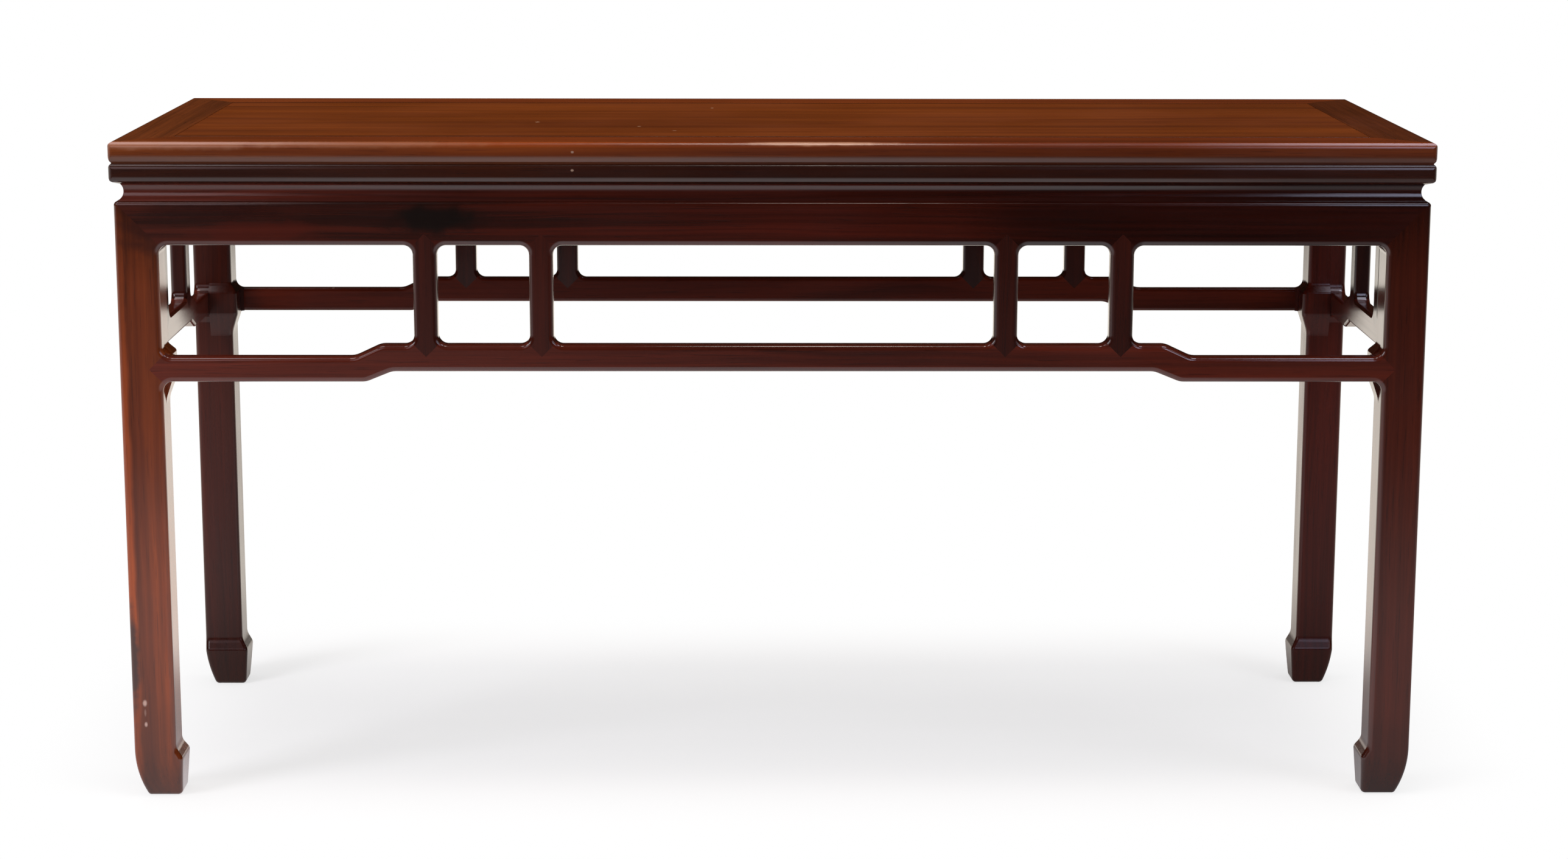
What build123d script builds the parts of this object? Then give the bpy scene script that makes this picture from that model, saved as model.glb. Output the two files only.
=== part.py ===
from build123d import *
from collections import namedtuple
import os

# A kang table: a low waisted table with humpback stretchers and hoof feet, held by wooden joints.
# Millimetres. X runs along the table, Y from front to back, Z up.
# The origin lies on the floor, under the middle of the top.

# Overall size
top_length = 960.0
top_depth = 355.0
table_height = 492.5

# Framed top
frame_thickness = 30.8
frame_width = 41.0
overhang = 2.6  # the top's edge stands this far out past the legs
top_corner = 3.5  # rounding of the top's corners in plan
top_arris = 4.2
bead_start = 21.3  # the upper bead turns inwards below this height above the frame's underside
quirk_top = 15.6  # the groove between the edge's two beads
quirk_foot = 15.1
quirk_depth = 2.3
lower_bead_top = 11.0  # the lower bead's outermost face, between these two heights
lower_bead_low = 5.8
lower_bead_turn = (2.6, 1.5)  # from here the edge slopes back to its foot: depth and height
edge_foot = 7.0  # how far back the moulding ends, at the underside
corner_tenon_near = 10.0  # the rails' end tenons, from the frame's outer edge
corner_tenon_far = 30.0
corner_tenon_low = 12.0  # above the frame's underside
corner_tenon_high = 20.5
corner_tenon_end = 6.0
panel_thickness = 12.0
panel_gap = 0.3
tongue_depth = 6.0
tongue_low = 3.0  # above the panel's underside
tongue_high = 8.0
tongue_play = 0.5
panel_arris = 0.4
batten_places = {"left": -270.0, "middle": 0.0, "right": 270.0}
batten_width = 24.0
batten_height = 14.0
batten_key_height = 3.0
batten_key_foot = 14.0  # widths of the dovetail key
batten_key_head = 18.0
batten_tenon_length = 10.0
batten_tenon_width = 12.0
batten_tenon_low = 7.0  # above the frame's underside
batten_tenon_high = 16.0

# Waist, between the top and the aprons; depths are behind the legs' outer faces
waist_height = 12.5
waist_foot = 3.1
waist_crease = 5.4
waist_crease_height = 2.6
waist_hollow = 6.6
waist_hollow_height = 7.0
waist_head = 4.6
waist_back = 12.5
waist_tongue_near = 8.0
waist_tongue_far = 11.0
waist_tongue_height = 3.0
waist_tongue_gap = 2.0  # the lower tongue stops this far short of the legs

# Frieze: aprons, struts and stretchers, all flush with the legs' outer faces
leg_width = 31.0
apron_height = 32.1
frieze_thickness = 13.0
stretcher_height = 18.7
stretcher_level = 316.5  # underside of a stretcher's ends
hump = 8.9  # rise of a stretcher's middle
lower_hump = 7.7  # the same along its underside
strut_width = 17.4
corner_radius = 7.0  # of the corners of the frieze's openings
ramp_radius = 14.0
ramp_lean = 8.0  # a ramp's lower edge lies this much nearer to the middle than its upper edge
front_round = 3.8  # rounding of the openings' outer edges
back_round = 2.5
shoulder_run = 17.5  # how far the stretchers' pointed shoulders slope on past the legs' inner faces
arris_round = 3.0  # rounding of the legs' and aprons' outer edges
skin = 5.5  # thickness of the mitred shoulders that lap over the legs
tenon_thickness = 6.0
apron_tenon_reach = 24.0  # how far the tenons stop short of the legs' outer faces
apron_tenon_low = 6.0  # above the apron's underside
apron_tenon_high = 24.0
stretcher_tenon_reach = 15.0
stretcher_tenon_margin = 3.0  # of the stretcher's height, above and below its tenons
strut_tenon_width = 8.0
strut_tenon_near = 4.5
strut_tenon_far = 8.5
strut_tenon_up = 16.0
strut_tenon_down = 14.0

# Legs
swelling = 7.5  # how far the legs swell inwards, in line with the friezes, to meet stretchers and aprons
core_swelling = 5.2  # the same behind the friezes, where the legs' inner faces swell softly
core_rise = 6.0  # this swelling begins so far above the stretcher's top
core_rise_hollow = 5.0
core_rise_round = 3.0
core_fall = 15.0  # and ends so far below its underside
core_fall_hollow = 20.0
core_fall_round = 9.0
core_reach = 24.0  # the core is shaped so far above and below the stretcher
inner_round = 2.9  # rounding of the legs' inner edges
foot_curve_height = 38.0  # the outer faces curve inwards below this level
foot_curve_radius = 92.0
hoof_sole = 33.4  # widths from the leg's outer face
hoof_width = 35.7
hoof_height = 30.0
hoof_neck = 38.0
hoof_round = 5.0
hoof_hollow = 11.5
sole_round = 3.6
post_near = 16.0  # the post that carries the top, from the leg's outer faces
post_far = 34.0
post_tenon_side = 6.0
post_tenon_height = 9.0
post_tenon_margin = 1.0  # each tenon stands this far in from the post's sides

# Levels and half sizes worked out from the above
half_length = top_length / 2 - overhang
half_depth = top_depth / 2 - overhang
frame_level = table_height - frame_thickness
panel_level = table_height - panel_thickness
apron_top = frame_level - waist_height
apron_level = apron_top - apron_height
stretcher_top = stretcher_level + stretcher_height
crest = stretcher_top + hump
fret_bottom = stretcher_level - 3 * corner_radius
leg_block = leg_width + swelling
core_low = stretcher_level - core_reach
core_high = stretcher_top + core_reach
past = 1.0  # cutting tools run this far out of the wood
slack = 0.2  # allowed to either side when edges are chosen by their place
upright_least = 0.3  # an edge counts as upright if its direction rises at least this much

# A side: the plane of its outer face (x along the side, y up, normal out), its half length, the places
# of its struts and of its stretcher's ramps (foot and top), all measured from the side's middle.
Side = namedtuple("Side", "plane half struts ramp")
front = Side(
    plane=Plane(origin=(0, -half_depth, 0), x_dir=(1, 0, 0), z_dir=(0, -1, 0)),
    half=half_length,
    struts=(-253.7, -169.3, 169.3, 253.7),
    ramp=(306.0, 287.0),
)
left = Side(
    plane=Plane(origin=(-half_length, 0, 0), x_dir=(0, -1, 0), z_dir=(-1, 0, 0)),
    half=half_depth,
    struts=(-48.0, 48.0),
    ramp=(86.0, 67.0),
)


def save(piece, name):
    """Label a finished piece and write it out."""
    piece.part.label = name
    export_step(piece.part, f"parts/{name}.step")


def mirrored(piece, about):
    """The piece's twin on the other side of a plane."""
    with BuildPart() as twin:
        mirror(piece.part, about=about)
    return twin


def prism(side, points, near, far):
    """A polygon on a side's outer face, taken from one depth behind that face to another."""
    with BuildPart() as block:
        with BuildSketch(side.plane.offset(-near)):
            with BuildLine():
                Polyline(*points, close=True)
            make_face()
        extrude(amount=near - far)
    return block.part


def bar(side, reach, low, high, near, far):
    """A straight bar along a side, centred on its middle."""
    return prism(side, [(-reach, low), (reach, low), (reach, high), (-reach, high)], near, far)


def mitred_run(side, half_x, half_y, width):
    """The upright space of one member of a mitred rectangle whose outer half sizes are given."""
    x, y = half_x, half_y
    if side is front:
        plan = [(-x, -y), (x, -y), (x - width, width - y), (width - x, width - y)]
    else:
        plan = [(-x, -y), (width - x, width - y), (width - x, y - width), (-x, y)]
    with BuildPart() as run:
        with BuildSketch():
            with BuildLine():
                Polyline(*plan, close=True)
            make_face()
        extrude(amount=table_height)
    return run.part


# The frieze of a side starts as one pierced plate, and is then parted along its mitred joints.


def corner_opening(side, sign):
    """Opening between a leg and the nearest strut, over the end of the stretcher."""
    inner = side.half - leg_width
    outer = side.struts[-1] + strut_width / 2
    foot, top = side.ramp
    corners = [
        (inner, apron_level),
        (outer, apron_level),
        (outer, crest),
        (top, crest),
        (foot, stretcher_top),
        (inner, stretcher_top),
    ]
    with BuildSketch() as opening:
        with BuildLine():
            FilletPolyline(
                *[(sign * x, z) for x, z in corners],
                radius=[corner_radius] * 3 + [ramp_radius] * 2 + [corner_radius],
                close=True,
            )
        make_face()
    return opening.sketch


def strut_opening(start, end):
    """Opening between two struts, over the stretcher's raised middle."""
    with BuildSketch() as opening:
        with BuildLine():
            FilletPolyline(
                (start, crest),
                (end, crest),
                (end, apron_level),
                (start, apron_level),
                radius=corner_radius,
                close=True,
            )
        make_face()
    return opening.sketch


def lower_opening(side):
    """Opening under the stretcher; it runs out past the plate's lower edge."""
    inner = side.half - leg_width
    foot, top = side.ramp
    half_outline = [
        (inner, fret_bottom - leg_width),
        (inner, stretcher_level),
        (foot - ramp_lean, stretcher_level),
        (top - ramp_lean, stretcher_level + lower_hump),
    ]
    other_half = [(-x, z) for x, z in reversed(half_outline)]
    with BuildSketch() as opening:
        with BuildLine():
            FilletPolyline(
                *half_outline,
                *other_half,
                radius=[0, corner_radius] + [ramp_radius] * 4 + [corner_radius, 0],
                close=True,
            )
        make_face()
    return opening.sketch


def fret(side):
    """The whole frieze of a side as one plate, with its openings rounded on both faces."""
    height = apron_top - fret_bottom
    edge = strut_width / 2
    with BuildPart() as plate:
        with BuildSketch(side.plane):
            with Locations((0, fret_bottom + height / 2)):
                Rectangle(2 * side.half, height)
            for sign in (-1, 1):
                add(corner_opening(side, sign), mode=Mode.SUBTRACT)
            for start, end in zip(side.struts, side.struts[1:]):
                add(strut_opening(start + edge, end - edge), mode=Mode.SUBTRACT)
            add(lower_opening(side), mode=Mode.SUBTRACT)
        extrude(amount=-frieze_thickness)

        def is_rim(edge, depth):
            spot = side.plane.to_local_coords(edge.center())
            inside = abs(spot.X) < side.half - past and fret_bottom + past < spot.Y < apron_top - past
            return inside and abs(spot.Z + depth) < 0.01

        for depth, radius in ((0, front_round), (frieze_thickness, back_round)):
            fillet(plate.edges().filter_by(lambda e: is_rim(e, depth)), radius=radius)
    return plate.part


def strut_zone(side, place, near=0.0):
    """The space of a strut, pointed at both ends and wide enough for its share of the rounded corners."""
    point = strut_width / 2
    wide = point + corner_radius
    outline = [
        (0, crest - point),
        (wide, crest + corner_radius),
        (wide, apron_level - corner_radius),
        (0, apron_level + point),
        (-wide, apron_level - corner_radius),
        (-wide, crest + corner_radius),
    ]
    return prism(side, [(place + x, z) for x, z in outline], near, frieze_thickness)


def strut_tenons(side, place):
    """A strut's two tenons, as one bar through the strut."""
    low, high = crest - strut_tenon_down, apron_level + strut_tenon_up
    a, b = place - strut_tenon_width / 2, place + strut_tenon_width / 2
    return prism(side, [(a, low), (b, low), (b, high), (a, high)], strut_tenon_near, strut_tenon_far)


def apron_skin(side, near=0.0):
    """The space of an apron's outer layer, which laps over the legs down to a mitre at 45 degrees."""
    drop = leg_width + corner_radius
    top, low = side.half, side.half - drop
    points = [(-top, apron_top), (-low, apron_top - drop), (low, apron_top - drop), (top, apron_top)]
    return prism(side, points, near, skin)


def stretcher_skin(side, near=0.0):
    """The space of a stretcher's outer layer, whose ends point into the legs."""
    point = stretcher_height / 2
    tip = side.half - leg_width + point
    middle = stretcher_level + point
    rise = point + shoulder_run
    points = [
        (-tip, middle),
        (rise - tip, middle - rise),
        (tip - rise, middle - rise),
        (tip, middle),
        (tip - rise, middle + rise),
        (rise - tip, middle + rise),
    ]
    return prism(side, points, near, skin)


def apron_tenons(side):
    """Both end tenons of an apron, as one bar through the apron."""
    reach = side.half - apron_tenon_reach
    low, high = apron_level + apron_tenon_low, apron_level + apron_tenon_high
    return bar(side, reach, low, high, skin, skin + tenon_thickness)


def stretcher_tenons(side):
    """Both end tenons of a stretcher, each rooted in its straight end, outside the ramp."""
    near, far = side.ramp[0], side.half - stretcher_tenon_reach
    low, high = stretcher_level + stretcher_tenon_margin, stretcher_top - stretcher_tenon_margin
    with BuildPart() as tenons:
        for a, b in ((near, far), (-far, -near)):
            add(prism(side, [(a, low), (b, low), (b, high), (a, high)], skin, skin + tenon_thickness))
    return tenons.part


def crown_block():
    """The legs' and aprons' height as one block, with its top and corner edges rounded."""
    with BuildPart() as block:
        with Locations((0, 0, apron_top / 2)):
            Box(2 * half_length, 2 * half_depth, apron_top)
        fillet(block.edges().filter_by(Axis.Z) + block.faces().sort_by(Axis.Z)[-1].edges(), arris_round)
    return block.part


def crown_waste():
    """What the rounded top and corner edges take off the aprons and legs."""
    depth = 2 * arris_round
    with BuildPart() as waste:
        with Locations((0, 0, apron_top - depth / 2)):
            Box(2 * (half_length + past), 2 * (half_depth + past), depth)
        add(crown_block(), mode=Mode.SUBTRACT)
    return waste.part


def section_plane(side):
    """The plane across a side's middle: x runs inwards from the legs' outer faces, y runs up."""
    inwards = -side.plane.z_dir
    return Plane(origin=side.plane.origin, x_dir=inwards, z_dir=inwards.cross(Vector(0, 0, 1)))


def make_waist(side):
    """Waist strip: a hollow moulding with a tongue above and below and mitred ends."""
    crease = (waist_crease, apron_top + waist_crease_height)
    tongue = (waist_tongue_near, waist_tongue_far)
    with BuildPart() as strip:
        with BuildSketch(section_plane(side)):
            with BuildLine():
                Polyline(
                    (waist_head, frame_level),
                    (waist_back, frame_level),
                    (waist_back, apron_top),
                    (waist_foot, apron_top),
                    crease,
                )
                ThreePointArc(
                    crease,
                    (waist_hollow, apron_top + waist_hollow_height),
                    (waist_head, frame_level),
                )
            make_face()
        extrude(amount=side.half, both=True)
        add(bar(side, side.half, frame_level, frame_level + waist_tongue_height, *tongue))
        add(mitred_run(side, half_length, half_depth, waist_back), mode=Mode.INTERSECT)
        reach = side.half - leg_block - waist_tongue_gap
        add(bar(side, reach, apron_top - waist_tongue_height, apron_top, *tongue))
    return strip


def make_apron(side, plate, crown, waist):
    """Apron with mitred ends, mortised below for the struts and grooved above for the waist."""
    with BuildPart() as apron:
        add(apron_skin(side))
        add(bar(side, side.half - leg_block, apron_level - corner_radius, apron_top, skin, frieze_thickness))
        add(plate, mode=Mode.INTERSECT)
        add(mitred_run(side, half_length, half_depth, frieze_thickness), mode=Mode.INTERSECT)
        add(apron_tenons(side))
        for place in side.struts:
            add(strut_zone(side, place, near=-past), mode=Mode.SUBTRACT)
            add(strut_tenons(side, place), mode=Mode.SUBTRACT)
        add(crown, mode=Mode.SUBTRACT)
        add(waist.part, mode=Mode.SUBTRACT)
    return apron


def make_stretcher(side, plate):
    """Humpback stretcher with pointed shoulders, mortised above for the struts."""
    with BuildPart() as stretcher:
        add(stretcher_skin(side))
        add(bar(side, side.half - leg_block, fret_bottom, crest + corner_radius, skin, frieze_thickness))
        add(plate, mode=Mode.INTERSECT)
        add(stretcher_tenons(side))
        for place in side.struts:
            add(strut_zone(side, place, near=-past), mode=Mode.SUBTRACT)
            add(strut_tenons(side, place), mode=Mode.SUBTRACT)
    return stretcher


def make_strut(side, plate, place):
    """Strut with pointed ends and a tenon beyond each point."""
    with BuildPart() as strut:
        add(strut_zone(side, place))
        add(plate, mode=Mode.INTERSECT)
        add(strut_tenons(side, place))
    return strut


# A leg is made at the front left corner. Its own x and y are measured inwards from its outer faces.
leg_corner = Vector(-half_length, -half_depth, 0)


def leg_profile():
    """Outline of a leg on either outer face: x runs inwards from the table's corner, y runs up."""
    heel = foot_curve_radius - (foot_curve_radius**2 - foot_curve_height**2) ** 0.5
    with BuildSketch() as outline:
        with BuildLine():
            shin = Line((0, apron_top), (0, foot_curve_height))
            RadiusArc(shin @ 1, (heel, 0), -foot_curve_radius)
            FilletPolyline(
                (heel, 0),
                (hoof_sole, 0),
                (hoof_width, hoof_height),
                (leg_width, hoof_neck),
                (leg_width, core_low),
                (leg_block, core_low),
                (leg_block, core_high),
                (leg_width, core_high),
                (leg_width, apron_level),
                (leg_block, apron_level),
                (leg_block, apron_top),
                (0, apron_top),
                radius=[0, hoof_round, hoof_hollow, 0, 0, 0, 0, corner_radius, 0, 0],
            )
        make_face()
    return outline.sketch


def frieze_hollows():
    """What the block at the stretcher leaves free in line with the frieze, seen on either outer face."""
    with BuildSketch() as hollows:
        for near, end in ((stretcher_level, core_low), (stretcher_top, core_high)):
            with BuildLine():
                FilletPolyline(
                    (leg_block + past, near),
                    (leg_width, near),
                    (leg_width, end),
                    (leg_block + past, end),
                    radius=[0, corner_radius, 0, 0],
                    close=True,
                )
            make_face()
    return hollows.sketch


def core_hollow():
    """What the block at the stretcher leaves free behind the frieze, where the leg only swells softly."""
    core = leg_width + core_swelling
    with BuildSketch() as hollow:
        with BuildLine():
            FilletPolyline(
                (leg_block + past, core_low),
                (leg_width, core_low),
                (leg_width, stretcher_level - core_fall),
                (core, stretcher_level),
                (core, stretcher_top),
                (leg_width, stretcher_top + core_rise),
                (leg_width, core_high),
                (leg_block + past, core_high),
                radius=[0, 0, core_fall_hollow, core_fall_round, core_rise_round, core_rise_hollow, 0, 0],
                close=True,
            )
        make_face()
    return hollow.sketch


def arrises(leg, inner_x, inner_y, low, high):
    """A leg's upright edges between two levels, on the inner or the outer side in x and in y."""

    def on_side(distance, inner):
        return distance > leg_width - slack if inner else distance < skin - slack

    def wanted(edge):
        spot = edge.center() - leg_corner
        upright = abs((edge % 0.5).Z) > upright_least
        return upright and low < spot.Z < high and on_side(spot.X, inner_x) and on_side(spot.Y, inner_y)

    return leg.edges().filter_by(wanted)


def peg(x, y, side_length, low, high):
    """A square bar standing in a leg, its near corner x and y behind the leg's outer faces."""
    with BuildPart() as block:
        with Locations(leg_corner + Vector(x, y, low)):
            Box(side_length, side_length, high - low, align=Align.MIN)
    return block.part


def post_tenons():
    """The two tenons on a leg's post: one goes into the long rail, the other into the frame end."""
    near = post_near + post_tenon_margin
    far = post_far - post_tenon_margin - post_tenon_side
    top = frame_level + post_tenon_height
    return [peg(x, y, post_tenon_side, frame_level, top) for x, y in ((far, near), (near, far))]


def post_mortises():
    """The space of the post tenons at all four corners."""
    with BuildPart() as space:
        for tenon in post_tenons():
            add(tenon)
        mirror(about=Plane.YZ)
        mirror(about=Plane.XZ)
    return space.part


def make_leg(crown):
    """Leg in one piece: hoof foot, square shaft, swellings at the joints, and the post above."""
    blank = leg_block + past
    # On both planes x runs inwards along an outer face; the front one faces out of the leg, the other in.
    front_face = Plane(origin=leg_corner, x_dir=(1, 0, 0), z_dir=(0, -1, 0))
    left_face = Plane(origin=leg_corner, x_dir=(0, 1, 0), z_dir=(1, 0, 0))
    with BuildPart() as leg:
        with BuildSketch(front_face):
            add(leg_profile())
        extrude(amount=-blank)
        with BuildSketch(left_face):
            add(leg_profile())
        extrude(amount=blank, mode=Mode.INTERSECT)
        for face, inwards in ((front_face, -1), (left_face, 1)):
            with BuildSketch(face):
                add(frieze_hollows())
            extrude(amount=inwards * frieze_thickness, mode=Mode.SUBTRACT)
            with BuildSketch(face.offset(inwards * frieze_thickness)):
                add(core_hollow())
            extrude(amount=inwards * (blank - frieze_thickness), mode=Mode.SUBTRACT)
        fillet(arrises(leg, False, False, 0, apron_top), arris_round)
        for side in (front, left):
            add(apron_skin(side, near=-past), mode=Mode.SUBTRACT)
            add(stretcher_skin(side, near=-past), mode=Mode.SUBTRACT)
        for low, high in ((0, stretcher_level), (stretcher_top, apron_level)):
            fillet(arrises(leg, True, False, low, high), front_round)
            fillet(arrises(leg, False, True, low, high), front_round)
        fillet(arrises(leg, True, True, 0, apron_level), inner_round)
        fillet(leg.faces().sort_by(Axis.Z)[0].edges(), sole_round)
        for side in (front, left):
            add(apron_tenons(side), mode=Mode.SUBTRACT)
            add(stretcher_tenons(side), mode=Mode.SUBTRACT)
        add(crown, mode=Mode.SUBTRACT)
        add(peg(post_near, post_near, post_far - post_near, apron_top, frame_level))
        for tenon in post_tenons():
            add(tenon)
    return leg


def edge_waste():
    """What the two beads leave off a square edge, in section: x runs inwards from the edge, y runs up."""
    upper_start = (0, frame_thickness - top_arris)
    upper_end = (quirk_depth, quirk_top)
    lower_start = (quirk_depth, quirk_foot)
    with BuildSketch() as waste:
        with BuildLine():
            Polyline((edge_foot, 0), (-past, 0), (-past, frame_thickness), (top_arris, frame_thickness))
            RadiusArc((top_arris, frame_thickness), upper_start, -top_arris)
            Line(upper_start, (0, bead_start))
            TangentArc((0, bead_start), upper_end, tangent=(0, -1))
            Line(upper_end, lower_start)
            TangentArc((0, lower_bead_top), lower_start, tangent=(0, 1))
            Line((0, lower_bead_top), (0, lower_bead_low))
            TangentArc((0, lower_bead_low), lower_bead_turn, tangent=(0, -1))
            Line(lower_bead_turn, (edge_foot, 0))
        make_face()
    return waste.sketch


def make_batten(place):
    """Batten under the panel: a dovetail key along its top and a tenon at each end."""
    top = panel_level + batten_key_height
    reach = top_depth / 2 - frame_width
    with BuildPart() as batten:
        with BuildSketch(Plane.XZ):
            with Locations((place, panel_level - batten_height / 2)):
                Rectangle(batten_width, batten_height)
            with BuildLine():
                Polyline(
                    (place - batten_key_foot / 2, panel_level),
                    (place + batten_key_foot / 2, panel_level),
                    (place + batten_key_head / 2, top),
                    (place - batten_key_head / 2, top),
                    close=True,
                )
            make_face()
        extrude(amount=reach, both=True)
        height = batten_tenon_high - batten_tenon_low
        with Locations((place, 0, frame_level + batten_tenon_low + height / 2)):
            Box(batten_tenon_width, 2 * (reach + batten_tenon_length), height)
    return batten


def make_panel(battens):
    """Floating panel: a tongue all round, and a dovetail slot across its underside for each batten."""
    x, y = top_length - 2 * frame_width, top_depth - 2 * frame_width
    reach = 2 * (tongue_depth - tongue_play)
    with BuildPart() as panel:
        with BuildSketch(Plane.XY.offset(panel_level)):
            Rectangle(x - 2 * panel_gap, y - 2 * panel_gap)
        extrude(amount=panel_thickness)
        chamfer(panel.faces().sort_by(Axis.Z)[-1].edges(), panel_arris)
        with BuildSketch(Plane.XY.offset(panel_level + tongue_low)):
            Rectangle(x + reach, y + reach)
        extrude(amount=tongue_high - tongue_low)
        for batten in battens:
            add(batten.part, mode=Mode.SUBTRACT)
    return panel


def corner_tenons():
    """Both end tenons of a long rail, as one bar through the rail."""
    low, high = frame_level + corner_tenon_low, frame_level + corner_tenon_high
    near, far = corner_tenon_near - overhang, corner_tenon_far - overhang
    return bar(front, top_length / 2 - corner_tenon_end, low, high, near, far)


def make_frame_member(side, waist, battens):
    """One mitred member of the top's frame, moulded outside and grooved inside for the panel."""
    inner = frame_width - overhang
    low, high = panel_level + tongue_low, panel_level + tongue_high
    with BuildPart() as member:
        with BuildSketch(section_plane(side)):
            with Locations((-overhang, frame_level)):
                Rectangle(frame_width + past, frame_thickness, align=Align.MIN)
                add(edge_waste(), mode=Mode.SUBTRACT)
        extrude(amount=side.half + overhang + past, both=True)
        with BuildSketch(Plane.XY.offset(frame_level)):
            RectangleRounded(top_length, top_depth, top_corner)
        extrude(amount=frame_thickness, mode=Mode.INTERSECT)
        add(mitred_run(side, top_length / 2, top_depth / 2, frame_width), mode=Mode.INTERSECT)
        add(bar(side, top_length / 2, low, high, inner - tongue_depth, inner + past), mode=Mode.SUBTRACT)
        if side is front:
            add(corner_tenons())
        else:
            add(corner_tenons(), mode=Mode.SUBTRACT)
            mirror(corner_tenons(), about=Plane.XZ, mode=Mode.SUBTRACT)
        add(post_mortises(), mode=Mode.SUBTRACT)
        add(waist.part, mode=Mode.SUBTRACT)
        for batten in battens:
            add(batten.part, mode=Mode.SUBTRACT)
    return member


def save_side(side, name, opposite, about, crown, battens):
    """Make every piece of one side, and its twins on the opposite side."""
    plate = fret(side)
    waist = make_waist(side)
    pieces = {
        "frame_rail" if side is front else "frame_end": make_frame_member(side, waist, battens),
        "waist": waist,
        "apron": make_apron(side, plate, crown, waist),
        "stretcher": make_stretcher(side, plate),
    }
    for kind, piece in pieces.items():
        save(piece, f"{kind}_{name}")
        save(mirrored(piece, about), f"{kind}_{opposite}")
    for number, place in enumerate(side.struts, 1):
        strut = make_strut(side, plate, place)
        save(strut, f"strut_{name}_{number}")
        save(mirrored(strut, about), f"strut_{opposite}_{number}")


os.makedirs("parts", exist_ok=True)

battens = {name: make_batten(place) for name, place in batten_places.items()}
for name, batten in battens.items():
    save(batten, f"batten_{name}")
save(make_panel(battens.values()), "top_panel")

crown = crown_waste()
save_side(front, "front", "back", Plane.XZ, crown, battens.values())
save_side(left, "left", "right", Plane.YZ, crown, battens.values())

leg = make_leg(crown)
save(leg, "leg_front_left")
save(mirrored(leg, Plane.YZ), "leg_front_right")
back_leg = mirrored(leg, Plane.XZ)
save(back_leg, "leg_back_left")
save(mirrored(back_leg, Plane.YZ), "leg_back_right")
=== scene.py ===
import math

import bpy
from mathutils import Matrix, Vector

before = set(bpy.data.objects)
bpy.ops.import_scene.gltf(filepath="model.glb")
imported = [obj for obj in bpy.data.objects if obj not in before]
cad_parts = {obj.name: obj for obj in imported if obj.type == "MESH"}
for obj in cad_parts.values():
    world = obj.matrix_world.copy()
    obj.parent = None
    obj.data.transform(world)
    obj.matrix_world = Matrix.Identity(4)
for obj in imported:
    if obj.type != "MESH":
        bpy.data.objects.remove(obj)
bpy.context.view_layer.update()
print("frame loaded:", len(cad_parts), "pieces")

# turns that lay the grain, which runs along x in the patterns, along each piece
alongX = (0, 0, 0)
alongY = (0, 0, math.radians(-90))
alongZ = (0, math.radians(90), 0)


def addNode(tree, kind, **values):
    made = tree.nodes.new(kind)
    for key, value in values.items():
        setattr(made, key, value)
    return made


def feed(tree, socket, value):
    # a link where the value is another node's output, otherwise a plain setting
    if value is None:
        return
    if isinstance(value, bpy.types.NodeSocket):
        tree.links.new(value, socket)
    elif socket.type == "RGBA":
        socket.default_value = (*value[:3], 1)
    else:
        socket.default_value = value


def maths(tree, operation, a, b=None, clamp=False):
    made = addNode(tree, "ShaderNodeMath", operation=operation, use_clamp=clamp)
    feed(tree, made.inputs[0], a)
    feed(tree, made.inputs[1], b)
    return made.outputs[0]


def times(tree, a, b):
    return maths(tree, "MULTIPLY", a, b)


def stretch(tree, vector, scale):
    made = addNode(tree, "ShaderNodeVectorMath", operation="MULTIPLY")
    feed(tree, made.inputs[0], vector)
    feed(tree, made.inputs[1], scale)
    return made.outputs[0]


def noise(tree, vector, detail=2.0, roughness=0.5, distortion=0.0):
    made = addNode(tree, "ShaderNodeTexNoise")
    feed(tree, made.inputs["Vector"], vector)
    settings = {"Scale": 1.0, "Detail": detail, "Roughness": roughness, "Distortion": distortion}
    for label, value in settings.items():
        made.inputs[label].default_value = value
    return made.outputs["Fac"]


def rise(tree, value, low, high):
    # 0 below low, 1 above high, with a soft step between
    made = addNode(tree, "ShaderNodeMapRange", interpolation_type="SMOOTHSTEP")
    for label, given in {"Value": value, "From Min": low, "From Max": high}.items():
        feed(tree, made.inputs[label], given)
    return made.outputs["Result"]


def blend(tree, factor, a, b, way="MIX"):
    made = addNode(tree, "ShaderNodeMix", data_type="RGBA", blend_type=way)
    first, second = [socket for socket in made.inputs if socket.type == "RGBA"]
    feed(tree, made.inputs["Factor"], factor)
    feed(tree, first, a)
    feed(tree, second, b)
    return next(socket for socket in made.outputs if socket.type == "RGBA")


def split(tree, vector):
    made = addNode(tree, "ShaderNodeSeparateXYZ")
    feed(tree, made.inputs[0], vector)
    return made.outputs


def newGroup(name, inputs, outputs):
    tree = bpy.data.node_groups.new(name, "ShaderNodeTree")
    for label, (kind, value) in inputs.items():
        socket = tree.interface.new_socket(name=label, in_out="INPUT", socket_type=kind)
        if value is not None:
            socket.default_value = value
    for label, kind in outputs.items():
        tree.interface.new_socket(name=label, in_out="OUTPUT", socket_type=kind)
    return tree, tree.nodes.new("NodeGroupInput").outputs, tree.nodes.new("NodeGroupOutput").inputs


def useGroup(tree, group, **values):
    made = addNode(tree, "ShaderNodeGroup", node_tree=group)
    for label, value in values.items():
        feed(tree, made.inputs[label], value)
    return made.outputs


# kinds of socket that the groups have
colourKind, numberKind, vectorKind = "NodeSocketColor", "NodeSocketFloat", "NodeSocketVector"


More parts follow.
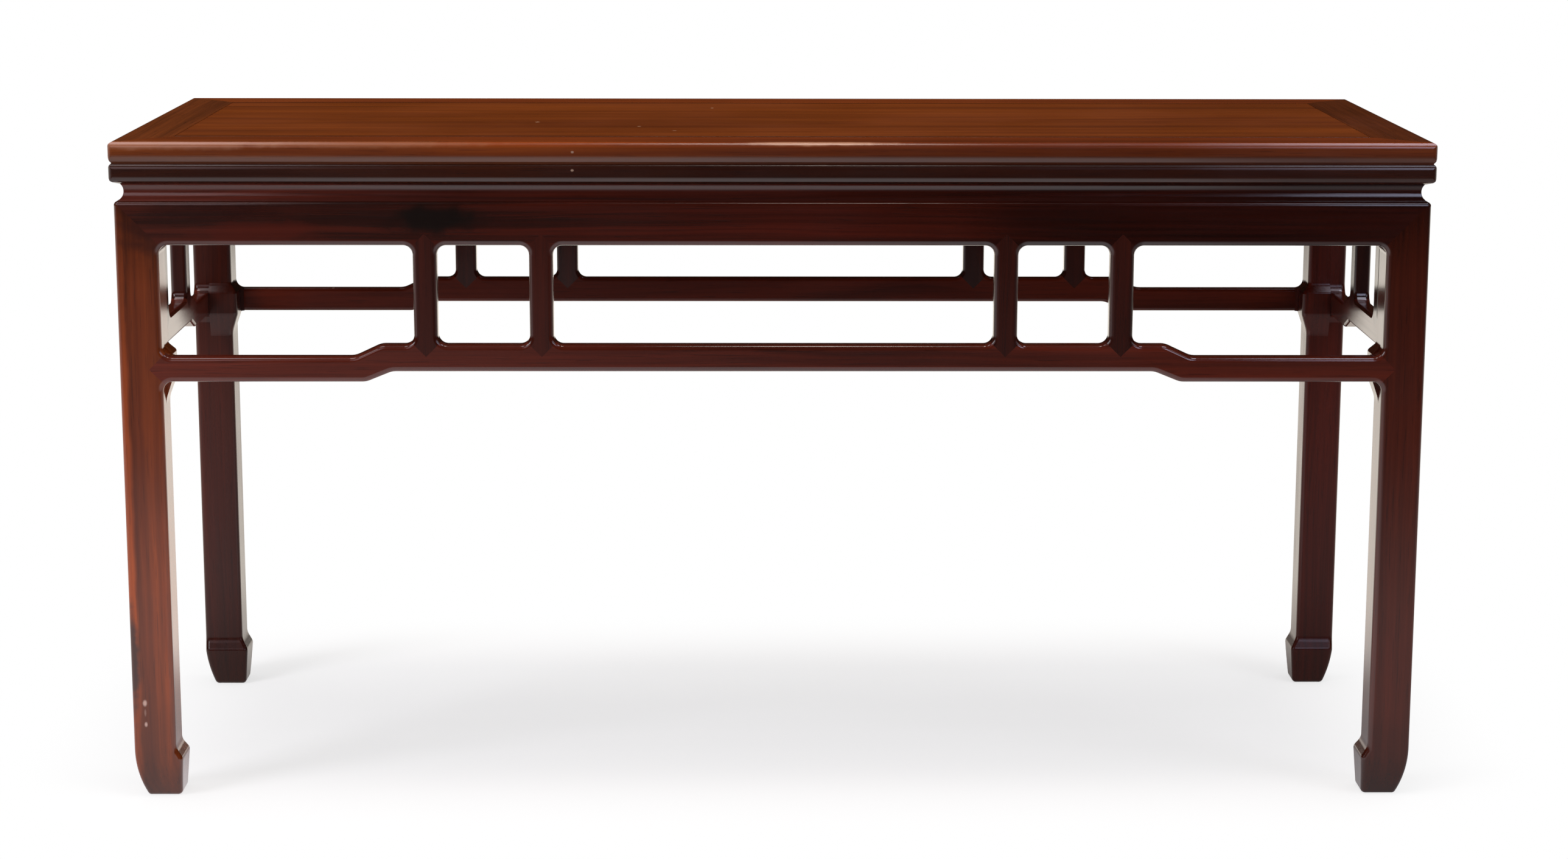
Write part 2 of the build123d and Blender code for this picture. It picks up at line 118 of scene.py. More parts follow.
grainShape = {
    # stretch of each pattern along and across the grain
    "drift": (1.6, 9, 9), "fibre": (5, 260, 260), "patch": (3.0, 14, 14),
    "pores": (34, 1100, 1100), "veins": (0.9, 38, 38),
    "wander": 0.045,  # how far the growth rings stray, in metres
    "ringLength": 1.1,
    "poreEdge": (0.6, 0.72), "veinEdge": (0.5, 0.68),
    # what each adds to the mix of light and deep wood
    "ringShare": 2.4, "fibreShare": 0.8, "patchShare": 1.5,
    "fibreHeight": 0.35,
}


def makeGrain():
    # x of the vector runs along the grain, and the heart of the tree lies on y = z = 0
    tree, given, out = newGroup(
        "woodGrain",
        {
            "Vector": (vectorKind, None),
            "Light": (colourKind, (0.2, 0.07, 0.02, 1)),
            "Deep": (colourKind, (0.08, 0.02, 0.01, 1)),
            "Vein": (colourKind, (0.02, 0.006, 0.004, 1)),
            "Ring": (numberKind, 0.006),  # spacing of the growth rings, in metres
            "Figure": (numberKind, 1.0),  # how strongly the rings show
            "Veins": (numberKind, 0.3),  # how much dark heartwood runs through
            "Pores": (numberKind, 0.5),
        },
        {"Colour": colourKind, "Height": numberKind},
    )
    here = given["Vector"]
    x, y, z = split(tree, here)
    reach = maths(tree, "SQRT", maths(tree, "ADD", times(tree, y, y), times(tree, z, z)))
    drift = noise(tree, stretch(tree, here, grainShape["drift"]), 3)
    wander = times(tree, maths(tree, "SUBTRACT", drift, 0.5), grainShape["wander"])
    spot = addNode(tree, "ShaderNodeCombineXYZ")
    feed(tree, spot.inputs[0], times(tree, x, grainShape["ringLength"]))
    feed(tree, spot.inputs[1], maths(tree, "DIVIDE", maths(tree, "ADD", reach, wander), given["Ring"]))
    rings = noise(tree, spot.outputs[0], 4, 0.62)
    fibre = noise(tree, stretch(tree, here, grainShape["fibre"]), 2, 0.6)
    patch = noise(tree, stretch(tree, here, grainShape["patch"]), 2)
    pores = rise(tree, noise(tree, stretch(tree, here, grainShape["pores"]), 1), *grainShape["poreEdge"])
    veins = noise(tree, stretch(tree, here, grainShape["veins"]), 3, 0.55, 0.6)
    veins = maths(tree, "MULTIPLY", rise(tree, veins, *grainShape["veinEdge"]), given["Veins"], clamp=True)
    ringShare = times(tree, given["Figure"], grainShape["ringShare"])
    lines = times(tree, maths(tree, "SUBTRACT", rings, 0.5), ringShare)
    for part, share in (fibre, "fibreShare"), (patch, "patchShare"):
        lines = maths(tree, "ADD", lines, times(tree, maths(tree, "SUBTRACT", part, 0.5), grainShape[share]))
    body = blend(tree, maths(tree, "ADD", lines, 0.5, clamp=True), given["Deep"], given["Light"])
    body = blend(tree, veins, body, given["Vein"])
    dark = maths(tree, "MULTIPLY", pores, given["Pores"], clamp=True)
    feed(tree, out["Colour"], blend(tree, dark, body, given["Vein"]))
    feed(tree, out["Height"], maths(tree, "SUBTRACT", times(tree, fibre, grainShape["fibreHeight"]), dark))
    return tree


nickShape = {"raggedness": 700, "stray": 0.002}  # stray in metres


def makeNicks():
    # sparse pale spots where the polish has been knocked off
    tree, given, out = newGroup(
        "paleNicks",
        {
            "Vector": (vectorKind, None), "Scale": (numberKind, 60.0),
            "Share": (numberKind, 0.015), "Size": (numberKind, 0.08),
        },
        {"Mask": numberKind},
    )
    ragged = addNode(tree, "ShaderNodeTexNoise")
    ragged.inputs["Scale"].default_value = nickShape["raggedness"]
    feed(tree, ragged.inputs["Vector"], given["Vector"])
    moved = addNode(tree, "ShaderNodeVectorMath", operation="ADD")
    feed(tree, moved.inputs[0], given["Vector"])
    feed(tree, moved.inputs[1], stretch(tree, ragged.outputs["Color"], [nickShape["stray"]] * 3))
    cells = addNode(tree, "ShaderNodeTexVoronoi", feature="F1")
    feed(tree, cells.inputs["Vector"], moved.outputs[0])
    feed(tree, cells.inputs["Scale"], given["Scale"])
    chance = addNode(tree, "ShaderNodeSeparateColor")
    feed(tree, chance.inputs[0], cells.outputs["Color"])
    chosen = maths(tree, "LESS_THAN", chance.outputs[0], given["Share"])
    near = maths(tree, "LESS_THAN", cells.outputs["Distance"], given["Size"])
    feed(tree, out["Mask"], times(tree, chosen, near))
    return tree


glossShape = {
    "clouds": (9, 9, 9), "marks": (14, 420, 420), "cloudShare": 0.7, "edge": (0.35, 0.65),
}


def makeGloss():
    # roughness of an old hand-rubbed polish: smooth, with duller clouds and fine rubbing marks
    tree, given, out = newGroup(
        "rubbedGloss",
        {"Vector": (vectorKind, None), "Smooth": (numberKind, 0.22), "Dull": (numberKind, 0.36)},
        {"Roughness": numberKind},
    )
    clouds = noise(tree, stretch(tree, given["Vector"], glossShape["clouds"]), 3)
    marks = noise(tree, stretch(tree, given["Vector"], glossShape["marks"]), 2)
    cloudShare = glossShape["cloudShare"]
    mixed = maths(tree, "ADD", times(tree, clouds, cloudShare), times(tree, marks, 1 - cloudShare))
    span = maths(tree, "SUBTRACT", given["Dull"], given["Smooth"])
    share = times(tree, rise(tree, mixed, *glossShape["edge"]), span)
    feed(tree, out["Roughness"], maths(tree, "ADD", share, given["Smooth"]))
    return tree


patchShape = {"ragged": (60, 90, 90), "raggedness": 0.9, "edge": (0.35, 1.0)}


def makeSpot():
    # a soft-edged patch round a point, ragged along the grain, for knots, stains, worn places and painted
    # highlights
    tree, given, out = newGroup(
        "patchRound",
        {
            "Vector": (vectorKind, None), "Centre": (vectorKind, (0, 0, 0)),
            "Reach": (vectorKind, (0.02, 0.02, 0.02)),
        },
        {"Mask": numberKind},
    )
    offset = addNode(tree, "ShaderNodeVectorMath", operation="SUBTRACT")
    feed(tree, offset.inputs[0], given["Vector"])
    feed(tree, offset.inputs[1], given["Centre"])
    scaled = addNode(tree, "ShaderNodeVectorMath", operation="DIVIDE")
    feed(tree, scaled.inputs[0], offset.outputs[0])
    feed(tree, scaled.inputs[1], given["Reach"])
    length = addNode(tree, "ShaderNodeVectorMath", operation="LENGTH")
    feed(tree, length.inputs[0], scaled.outputs[0])
    ragged = noise(tree, stretch(tree, given["Vector"], patchShape["ragged"]), 3)
    uneven = times(tree, maths(tree, "SUBTRACT", ragged, 0.5), patchShape["raggedness"])
    distance = maths(tree, "ADD", length.outputs["Value"], uneven)
    feed(tree, out["Mask"], maths(tree, "SUBTRACT", 1.0, rise(tree, distance, *patchShape["edge"])))
    return tree


grain, nicks, gloss, patchRound = makeGrain(), makeNicks(), makeGloss(), makeSpot()
print("shared effects made")


def toneRamp(tree, place, fineness, tones):
    # colours that the wood is multiplied by, from one end of a piece to the other
    axis, low, high, ragged, stops = tones
    spot = split(tree, place)["XYZ".index(axis)]
    drift = noise(tree, stretch(tree, place, fineness), 2)
    spot = maths(tree, "ADD", spot, times(tree, maths(tree, "SUBTRACT", drift, 0.5), ragged))
    spread = addNode(tree, "ShaderNodeMapRange")
    for label, value in {"Value": spot, "From Min": low, "From Max": high}.items():
        feed(tree, spread.inputs[label], value)
    ramp = addNode(tree, "ShaderNodeValToRGB")
    ramp.color_ramp.interpolation = "EASE"
    points = ramp.color_ramp.elements
    while len(points) < len(stops):
        points.new(0.5)
    for point, (at, tone) in zip(points, stops):
        point.position = at
        point.color = (*tone, 1) if isinstance(tone, tuple) else (tone, tone, tone, 1)
    feed(tree, ramp.inputs[0], spread.outputs[0])
    return ramp.outputs["Color"]


# What every wood starts from; each piece below changes what differs.
# A tone is an axis, from where to where along it, how far it wavers, and the stops of its ramp.
# A patch is a centre, its reach each way, a tint and its strength. Places are in metres.
polished = {
    "along": alongX, "heart": (0, 0, 0), "vein": (0.010, 0.004, 0.003),
    "ring": 0.005, "figure": 0.8, "veins": 0.3, "pores": 0.35, "tones": [], "patches": [],
    "bare": (0.42, 0.25, 0.17), "nickScale": 55, "nickShare": 0.004,
    "smooth": 0.13, "dull": 0.2, "specular": 0.5, "relief": 0.1, "reliefDepth": 0.0002, "nickStrength": 0.75,
    "toneDrift": (30, 30, 30),  # how finely the change from one tone to the next wavers
}


def finishWood(name, starts, changes):
    look = polished | changes
    material = bpy.data.materials.new(name)
    material.use_nodes = True
    tree = material.node_tree
    shader = tree.nodes["Principled BSDF"]
    place = addNode(tree, "ShaderNodeTexCoord").outputs["Object"]
    turn = addNode(tree, "ShaderNodeMapping")
    feed(tree, turn.inputs["Vector"], place)
    feed(tree, turn.inputs["Rotation"], look["along"])
    feed(tree, turn.inputs["Location"], look["heart"])
    here = turn.outputs[0]
    wood = useGroup(
        tree, grain, Vector=here, Light=look["light"], Deep=look["deep"], Vein=look["vein"],
        Ring=look["ring"], Figure=look["figure"], Veins=look["veins"], Pores=look["pores"],
    )
    shown = wood["Colour"]
    for tones in look["tones"]:
        shown = blend(tree, 1.0, shown, toneRamp(tree, place, look["toneDrift"], tones), "MULTIPLY")
    for centre, reach, tint, strength in look["patches"]:
        patch = useGroup(tree, patchRound, Vector=place, Centre=centre, Reach=reach)
        shown = blend(tree, times(tree, patch["Mask"], strength), shown, tint)
    nick = useGroup(tree, nicks, Vector=place, Scale=look["nickScale"], Share=look["nickShare"])
    shown = blend(tree, times(tree, nick["Mask"], look["nickStrength"]), shown, look["bare"])
    feed(tree, shader.inputs["Base Color"], shown)
    rough = useGroup(tree, gloss, Vector=here, Smooth=look["smooth"], Dull=look["dull"])
    feed(tree, shader.inputs["Roughness"], rough["Roughness"])
    bump = addNode(tree, "ShaderNodeBump")
    bump.inputs["Strength"].default_value = look["relief"]
    bump.inputs["Distance"].default_value = look["reliefDepth"]
    feed(tree, bump.inputs["Height"], wood["Height"])
    feed(tree, shader.inputs["Normal"], bump.outputs[0])
    shader.inputs["Specular IOR Level"].default_value = look["specular"]
    shader.inputs["IOR"].default_value = 1.5
    for node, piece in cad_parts.items():
        if not node.startswith(starts):
            continue
        if not piece.material_slots:
            piece.data.materials.append(None)
        for slot in piece.material_slots:
            slot.material = material


# where the tones across some pieces begin and end, in metres
wholeLength = (-0.48, 0.48)
panelDepth = (-0.1365, 0.1365)
railHeight = (0.4617, 0.4925)
frontLegLeft = (-0.4774, -0.4464)

panel = {
    "heart": (0.1, 0.03, -0.40), "light": (0.262, 0.0560, 0.0052), "deep": (0.152, 0.0290, 0.0027),
    "vein": (0.070, 0.013, 0.003), "ring": 0.008, "veins": 0.3,
    "specular": 0.3, "smooth": 0.26, "dull": 0.36,
    # painted shade along the seams with the long rails
    "tones": [
        ("Y", *panelDepth, 0.003, [
            (0, 0.4), (0.012, 0.6), (0.03, 1.0), (0.97, 1.0), (0.988, 0.6), (1, 0.4),
        ]),
    ],
    "patches": [
        ((-0.1802, -0.0269, 0.4925), (0.0022, 0.0030, 0.003), (0.55, 0.35, 0.22), 0.8),
        ((-0.1012, -0.0591, 0.4925), (0.0020, 0.0030, 0.003), (0.50, 0.30, 0.18), 0.7),
        ((-0.0476, 0.0897, 0.4925), (0.0016, 0.0040, 0.003), (0.50, 0.30, 0.18), 0.6),
    ],
}
finishWood("panelWood", "top_panel", panel)

rail = {
    "heart": (1.3, 0.25, -0.44), "light": (0.228, 0.0450, 0.0058), "deep": (0.115, 0.0200, 0.0034),
    "vein": (0.04, 0.009, 0.003), "ring": 0.006, "veins": 0.25, "smooth": 0.2, "dull": 0.27, "relief": 0.06,
    "tones": [
        # darker with a bluish cast below the quirk; above it a bluer band on the upper bead's lower curve, a
        # painted reflection, and a painted highlight along the upper edge
        ("Z", *railHeight, 0.0004, [
            (0, (0.2, 0.2, 0.45)), (0.475, (0.2, 0.2, 0.45)), (0.5, (0.6, 0.8, 2.0)),
            (0.62, (0.65, 0.8, 1.5)), (0.72, 0.95), (0.85, 0.98), (0.97, (1.5, 1.4, 1.2)),
        ]),
        # bluer towards the left end, a painted reflection of the lamps on that side
        ("X", *wholeLength, 0.05, [(0, (1.0, 1.1, 1.3)), (0.3, 1.0), (0.5, 0.95), (1, 1.0)]),
    ],
    # painted highlights on the front's upper edge: a broad one along the left part and a streak in the
    # middle; the two small spots lower down are pale chips
    "patches": [
        ((-0.46, -0.176, 0.4910), (0.14, 0.0060, 0.0056), (0.42, 0.20, 0.12), 0.45),
        ((-0.30, -0.176, 0.4915), (0.12, 0.0060, 0.0045), (0.36, 0.15, 0.07), 0.35),
        ((0.03, -0.176, 0.4920), (0.07, 0.0050, 0.0026), (0.52, 0.26, 0.15), 0.7),
        ((-0.1454, -0.1775, 0.4855), (0.0015, 0.004, 0.0012), (0.45, 0.30, 0.22), 0.7),
        ((-0.1456, -0.1775, 0.4723), (0.0013, 0.004, 0.0010), (0.45, 0.30, 0.22), 0.7),
    ],
}
finishWood("railWood", "frame_rail", rail)

end = {
    "along": alongY, "heart": (0.4, 0.52, -0.44),
    "light": (0.255, 0.0580, 0.0110), "deep": (0.135, 0.0290, 0.0058), "vein": (0.03, 0.007, 0.003),
    "smooth": 0.2, "dull": 0.3,
    "tones": [
        ("Z", *railHeight, 0.0004, [
            (0, (0.2, 0.2, 0.45)), (0.475, (0.2, 0.2, 0.45)), (0.51, 0.9), (1, 1.0),
        ]),
        ("X", -0.1, 0.1, 0, [(0, 1.0), (1, (0.66, 0.60, 0.52))]),
    ],
}
finishWood("endWood", "frame_end", end)

batten = {
    "along": alongY, "heart": (6.1, 0.02, -0.45),
    "light": (0.16, 0.060, 0.025), "deep": (0.09, 0.032, 0.014),
    "smooth": 0.5, "dull": 0.7, "specular": 0.3,
}
finishWood("battenWood", "batten", batten)
print("top finished")

waist = {
    "heart": (2.1, 0.20, -0.40), "light": (0.088, 0.0120, 0.0058), "deep": (0.030, 0.0050, 0.0030),
    "tones": [
        # partly the wood's own tone, partly painted light: much paler and bluer at the left end, where more
        # light falls, and darker towards the right
        ("X", -0.475, 0.475, 0.05, [(0, (1.7, 2.2, 2.6)), (0.3, 1.15), (0.5, 0.9), (0.75, 0.62), (1, 0.52)]),
    ],
}
finishWood("waistWood", ("waist_front", "waist_back"), waist)
sideWaist = waist | {"along": alongY, "heart": (2.7, 0.50, -0.40)}
finishWood("waistSideWood", ("waist_left", "waist_right"), sideWaist)

apron = {
    "heart": (3.4, 0.16, -0.36), "veins": 0.6,
    "light": (0.092, 0.0105, 0.0042), "deep": (0.024, 0.0040, 0.0020),
    "tones": [
        # partly the wood's own darker right end, partly painted light: paler and bluer at the left end,
        # where more light falls
        ("X", -0.475, 0.475, 0.06, [
            (0, (1.1, 1.5, 1.8)), (0.3, 1.0), (0.5, 0.93), (0.62, 0.72), (0.72, 0.4), (1, 0.41),
        ]),
    ],
    # dark heartwood along the upper left, a knot over the second strut, redder sapwood left of it
    "patches": [
        ((-0.41, -0.177, 0.442), (0.070, 0.05, 0.010), (0.016, 0.003, 0.002), 0.5),
        ((-0.245, -0.177, 0.437), (0.045, 0.05, 0.014), (0.006, 0.003, 0.002), 0.9),
        ((-0.375, -0.177, 0.427), (0.06, 0.05, 0.011), (0.085, 0.010, 0.005), 0.5),
    ],
}
finishWood("apronWood", ("apron_front", "apron_back"), apron)
sideApron = apron | {"along": alongY, "heart": (3.9, 0.50, -0.36), "patches": []}
finishWood("apronSideWood", ("apron_left", "apron_right"), sideApron)
print("waist and aprons finished")

stretcher = {
    "heart": (4.6, 0.15, -0.28), "light": (0.125, 0.0170, 0.0075), "deep": (0.052, 0.0080, 0.0040),
    "tones": [
        # partly the wood's own tone, partly painted light: paler and bluer at the left end, where more light
        # falls
        ("X", -0.45, 0.45, 0.04, [(0, (1.4, 1.5, 1.6)), (0.3, 0.95), (0.6, 0.85), (0.8, 1.0), (1, 0.95)]),
    ],
}
finishWood("stretcherWood", "stretcher_front", stretcher)
finishWood("stretcherBackWood", "stretcher_back", stretcher | {"specular": 0.2})
sideStretcher = stretcher | {"along": alongY, "heart": (5.2, 0.50, -0.28)}
finishWood("stretcherSideWood", ("stretcher_left", "stretcher_right"), sideStretcher)

strut = {
    "along": alongZ, "heart": (0, 0.22, 0.03),
    "light": (0.062, 0.0085, 0.0038), "deep": (0.026, 0.0042, 0.0022),
    # painted light: the struts lighter towards the left, where more light falls
    "tones": [("X", -0.27, 0.27, 0, [(0, 1.1), (1, 0.8)])],
}
finishWood("strutWood", "strut", strut)
print("stretchers and struts finished")

brightLeg = {
    "along": alongZ, "heart": (0, 0.20, -0.44),
    "light": (0.50, 0.094, 0.0170), "deep": (0.27, 0.045, 0.0075),
    "vein": (0.05, 0.014, 0.009), "veins": 0.45, "ring": 0.004,
    "tones": [
        ("Z", 0, 0.45, 0.03, [
            (0, 0.42), (0.1, 0.62), (0.2, 0.85), (0.36, 1.0), (0.55, 0.75), (0.85, 0.62),
            (0.93, 0.45), (1, 0.25),
        ]),
        # paler along the rounded outer left edge, a painted highlight; beside it a darker bluish streak of
        # the wood
        ("X", *frontLegLeft, 0.004, [
            (0, 1.15), (0.13, 1.15), (0.25, (0.5, 0.5, 0.6)), (0.42, (0.66, 0.64, 0.72)),
            (0.6, 1.0), (1, 0.9),
        ]),
    ],
    # darker wood beside the mitre, a dark streak low on the outer edge, and two chips below it
    "patches": [
        ((-0.448, -0.175, 0.436), (0.036, 0.05, 0.036), (0.036, 0.008, 0.005), 0.9),
        ((-0.4758, -0.175, 0.107), (0.0062, 0.05, 0.06), (0.030, 0.022, 0.022), 0.85),
        ((-0.4680, -0.175, 0.0738), (0.0022, 0.004, 0.0034), (0.75, 0.50, 0.42), 0.85),
        ((-0.4677, -0.175, 0.0574), (0.0018, 0.004, 0.0030), (0.75, 0.50, 0.42), 0.85),
        ((-0.4680, -0.175, 0.0660), (0.0012, 0.004, 0.0040), (0.40, 0.22, 0.17), 0.6),
    ],
}
finishWood("brightLegWood", "leg_front_left", brightLeg)

darkLeg = {
    "along": alongZ, "heart": (0.6, 0.20, 0.40), "veins": 0.25,
    "light": (0.120, 0.0175, 0.0066), "deep": (0.053, 0.0085, 0.0038),
    "tones": [
        ("Z", 0, 0.45, 0.02, [
            (0, 0.4), (0.1, 0.65), (0.16, 0.85), (0.35, 0.9), (0.6, 0.8), (0.85, 0.6), (1, 0.28),
        ]),
    ],
    "patches": [((0.4455, -0.175, 0.0908), (0.0014, 0.004, 0.0018), (0.60, 0.42, 0.36), 0.8)],
}
finishWood("darkLegWood", "leg_front_right", darkLeg)

backLeg = {
    "along": alongZ, "heart": (1.2, -0.14, 0.40),
    "light": (0.100, 0.0145, 0.0062), "deep": (0.048, 0.0078, 0.0040),
    "veins": 0.25, "specular": 0.3, "smooth": 0.22, "dull": 0.3,
    "tones": [
        ("Z", 0, 0.45, 0.02, [(0, 0.55), (0.2, 0.85), (0.4, 1.0), (0.55, 1.0), (0.75, 0.75), (1, 0.5)]),
        ("X", -0.1, 0.1, 0, [(0, 1.0), (1, (1.25, 0.8, 0.6))]),
    ],
}
finishWood("backLegWood", "leg_back", backLeg)
print("legs finished")

studio = {
    "camera": (-0.01870, -2.46449, 0.73072),
    "turn": 0.658, "tilt": 11.1005, "roll": 0.1223, "lens": 72.99,
    "ambient": (0.30, 0.30, 0.31),  # what the room adds all round
    "mirrored": (0.012, 0.010, 0.006),  # the dim room, as polish mirrors it
}

camera = bpy.data.objects.new("camera", bpy.data.cameras.new("camera"))
bpy.context.scene.collection.objects.link(camera)
camera.data.sensor_width = 36
camera.data.lens = studio["lens"]
camera.data.clip_end = 100
camera.matrix_world = (
    Matrix.Translation(studio["camera"])
    @ Matrix.Rotation(math.radians(-studio["turn"]), 4, "Z")
    @ Matrix.Rotation(math.radians(90 - studio["tilt"]), 4, "X")
    @ Matrix.Rotation(math.radians(studio["roll"]), 4, "Z")
)
bpy.context.scene.camera = camera

lamps = {
    "overhead": {
        "at": (0, -0.1, 2.5), "to": (0, 0, 0.4),
        "size": (3.2, 2.0), "power": 26, "tint": (1.0, 0.98, 0.95),
    },
    "leftBox": {
        "at": (-2.1, -1.5, 1.7), "to": (0, 0, 0.3),
        "size": (0.9, 1.3), "power": 25, "tint": (0.95, 0.94, 1.0),
    },
    "rightBox": {
        "at": (2.1, -1.5, 1.7), "to": (0, 0, 0.3),
        "size": (0.9, 1.3), "power": 8, "tint": (0.90, 0.91, 1.0),
    },
    "topLamp": {
        "at": (0.05, -0.3, 2.4), "to": (0, 0, 0.4),
        "size": (0.26, 0.9), "power": 9, "tint": (1.0, 0.84, 0.76),
    },
    # pale cards over and before both ends, which only the polish picks up
    "leftCard": {
        "at": (-0.93, -0.1, 2.4), "to": (-0.93, -0.1, 0),
        "size": (0.56, 1.9), "power": 15, "tint": (1.0, 0.88, 0.90),
    },
    "rightCard": {
        "at": (0.93, -0.1, 2.4), "to": (0.93, -0.1, 0),
        "size": (0.46, 1.9), "power": 20, "tint": (0.84, 0.84, 1.0),
    },
    "leftFrontCard": {
        "at": (-0.9, -1.6, 1.2), "to": (-0.9, 0, 1.2),
        "size": (0.5, 0.9), "power": 3, "tint": (1.0, 0.78, 0.84),
    },
    "rightFrontCard": {
        "at": (0.9, -1.6, 1.2), "to": (0.9, 0, 1.2),
        "size": (0.4, 0.9), "power": 6.5, "tint": (0.70, 0.74, 1.0),
    },
}
for name, lamp in lamps.items():
    light = bpy.data.lights.new(name, "AREA")
    light.shape = "RECTANGLE"
    light.size, light.size_y = lamp["size"]
    light.energy = lamp["power"]
    light.color = lamp["tint"]
    holder = bpy.data.objects.new(name, light)
    bpy.context.scene.collection.objects.link(holder)
    holder.visible_diffuse = "Card" not in name
    holder.visible_glossy = name != "overhead"
    holder.location = lamp["at"]
    holder.rotation_euler = (Vector(lamp["to"]) - Vector(lamp["at"])).to_track_quat("-Z", "Y").to_euler()
print("camera and lamps set")


def seenDirectly(tree, ray):
    return maths(tree, "MAXIMUM", ray["Is Camera Ray"], ray["Is Transmission Ray"])


def makeWorld():
    world = bpy.data.worlds.new("studio")
    bpy.context.scene.world = world
    world.use_nodes = True
    tree = world.node_tree
    ray = addNode(tree, "ShaderNodeLightPath").outputs
    shown = blend(tree, ray["Is Glossy Ray"], studio["ambient"], studio["mirrored"])
    shown = blend(tree, seenDirectly(tree, ray), shown, (1, 1, 1))
    feed(tree, tree.nodes["Background"].inputs["Color"], shown)


floorLook = {
    "half": 40,
    "paper": 0.8, "seenPaper": 0.51, "lift": 0.62,
    "shadeHalf": (0.40, 0.14), "shadeMiddle": 0.04, "shadeFade": 0.2,  # the shade fades out past this box
    # what polish mirrors of the floor, by distances in metres
    "frontTint": (1.17, 1.12, 1.15), "backTint": (1.3, 1.2, 1.07), "behind": (-0.2, 0.5),
    "dark": (-1.65, -0.75), "slant": 0.15,  # it goes dark this far in front, and nearer on the right
    "rightwards": (-0.6, 0.6), "rightDim": 0.5, "rightDimBetween": 0.2,
    "between": (0.36, 0.46), "lighter": 0.25,  # the lighter part between the legs
    "far": 0.22, "farFade": (-4.2, -1.8), "farRightDim": 0.7,  # what is left of it further in front
    "backFade": (2.6, 4.2),
    # the shade under the table
    "underHalf": (0.50, 0.14), "underMiddle": 0.06, "underSoft": 0.1, "under": 0.55,
}


def rest(tree, share):
    return maths(tree, "SUBTRACT", 1.0, share)


def within(tree, distance, half, soft):
    return rest(tree, rise(tree, distance, half - soft, half + soft))


def makeMirrored(tree, x, y):
    # the floor as polish mirrors it: bright behind and under the table, dim further in front
    mirrored = addNode(tree, "ShaderNodeEmission")
    behind = rise(tree, y, *floorLook["behind"])
    feed(tree, mirrored.inputs["Color"], blend(tree, behind, floorLook["frontTint"], floorLook["backTint"]))
    rightwards = rise(tree, x, *floorLook["rightwards"])
    acrossX = maths(tree, "ABSOLUTE", x)
    between = rest(tree, rise(tree, acrossX, *floorLook["between"]))
    # dimmer towards the right, and less so between the legs
    lessDim = times(tree, between, floorLook["rightDim"] - floorLook["rightDimBetween"])
    dimming = times(tree, rightwards, maths(tree, "SUBTRACT", floorLook["rightDim"], lessDim))
    sideways = maths(tree, "MAXIMUM", rest(tree, dimming), behind)
    sideways = times(tree, sideways, maths(tree, "ADD", 1.0, times(tree, between, floorLook["lighter"])))
    depth = maths(tree, "SUBTRACT", y, times(tree, x, floorLook["slant"]))
    strength = times(tree, rise(tree, depth, *floorLook["dark"]), sideways)
    farther = times(tree, rest(tree, times(tree, rightwards, floorLook["farRightDim"])), floorLook["far"])
    farther = times(tree, farther, rise(tree, y, *floorLook["farFade"]))
    strength = maths(tree, "MAXIMUM", strength, farther)
    strength = times(tree, strength, rest(tree, rise(tree, y, *floorLook["backFade"])))
    insideX = within(tree, acrossX, floorLook["underHalf"][0], floorLook["underSoft"])
    fromMiddle = maths(tree, "ABSOLUTE", maths(tree, "SUBTRACT", y, floorLook["underMiddle"]))
    insideY = within(tree, fromMiddle, floorLook["underHalf"][1], floorLook["underSoft"])
    shaded = times(tree, times(tree, insideX, insideY), floorLook["under"])
    feed(tree, mirrored.inputs["Strength"], times(tree, strength, rest(tree, shaded)))
    return mirrored.outputs[0]


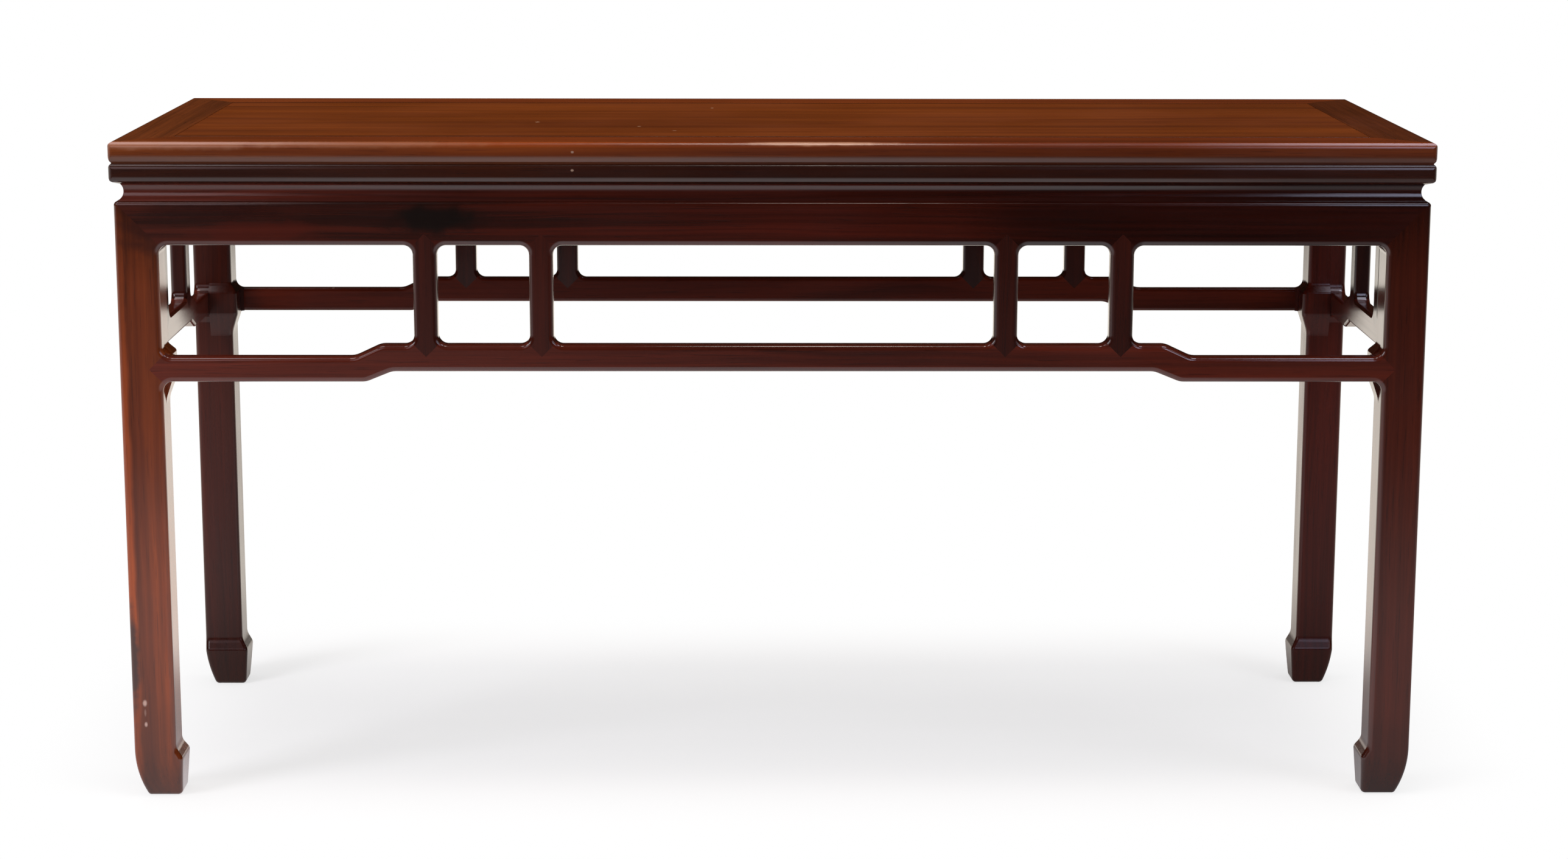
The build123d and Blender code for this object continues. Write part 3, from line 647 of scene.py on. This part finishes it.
def makePaper(tree, x, y, seen):
    # the floor as it is seen: lit paper under the table, and plain white round it
    paper = addNode(tree, "ShaderNodeBsdfDiffuse")
    unseenGrey, seenGrey = [floorLook["paper"]] * 3, [floorLook["seenPaper"]] * 3
    feed(tree, paper.inputs["Color"], blend(tree, seen, unseenGrey, seenGrey))
    lift = addNode(tree, "ShaderNodeEmission")
    feed(tree, lift.inputs["Strength"], times(tree, seen, floorLook["lift"]))
    near = addNode(tree, "ShaderNodeAddShader")
    feed(tree, near.inputs[0], paper.outputs[0])
    feed(tree, near.inputs[1], lift.outputs[0])
    white = addNode(tree, "ShaderNodeEmission")
    aside = maths(tree, "SUBTRACT", maths(tree, "ABSOLUTE", x), floorLook["shadeHalf"][0])
    aside = maths(tree, "MAXIMUM", aside, 0.0)
    ahead = maths(tree, "ABSOLUTE", maths(tree, "SUBTRACT", y, floorLook["shadeMiddle"]))
    ahead = maths(tree, "MAXIMUM", maths(tree, "SUBTRACT", ahead, floorLook["shadeHalf"][1]), 0.0)
    away = maths(tree, "SQRT", maths(tree, "ADD", times(tree, aside, aside), times(tree, ahead, ahead)))
    shown = addNode(tree, "ShaderNodeMixShader")
    feed(tree, shown.inputs[0], times(tree, rise(tree, away, 0, floorLook["shadeFade"]), seen))
    feed(tree, shown.inputs[1], near.outputs[0])
    feed(tree, shown.inputs[2], white.outputs[0])
    return shown.outputs[0]


def makeFloor():
    mesh = bpy.data.meshes.new("floor")
    half = floorLook["half"]
    corners = [(-half, -half, 0), (half, -half, 0), (half, half, 0), (-half, half, 0)]
    mesh.from_pydata(corners, [], [(0, 1, 2, 3)])
    floor = bpy.data.objects.new("floor", mesh)
    bpy.context.scene.collection.objects.link(floor)
    material = bpy.data.materials.new("paleFloor")
    material.use_nodes = True
    tree = material.node_tree
    tree.nodes.remove(tree.nodes["Principled BSDF"])
    place = addNode(tree, "ShaderNodeTexCoord").outputs["Object"]
    x, y, _ = split(tree, place)
    ray = addNode(tree, "ShaderNodeLightPath").outputs
    final = addNode(tree, "ShaderNodeMixShader")
    feed(tree, final.inputs[0], ray["Is Glossy Ray"])
    feed(tree, final.inputs[1], makePaper(tree, x, y, seenDirectly(tree, ray)))
    feed(tree, final.inputs[2], makeMirrored(tree, x, y))
    feed(tree, tree.nodes["Material Output"].inputs["Surface"], final.outputs[0])
    mesh.materials.append(material)


makeWorld()
makeFloor()
bpy.context.scene.view_settings.view_transform = "Standard"
print("studio ready")
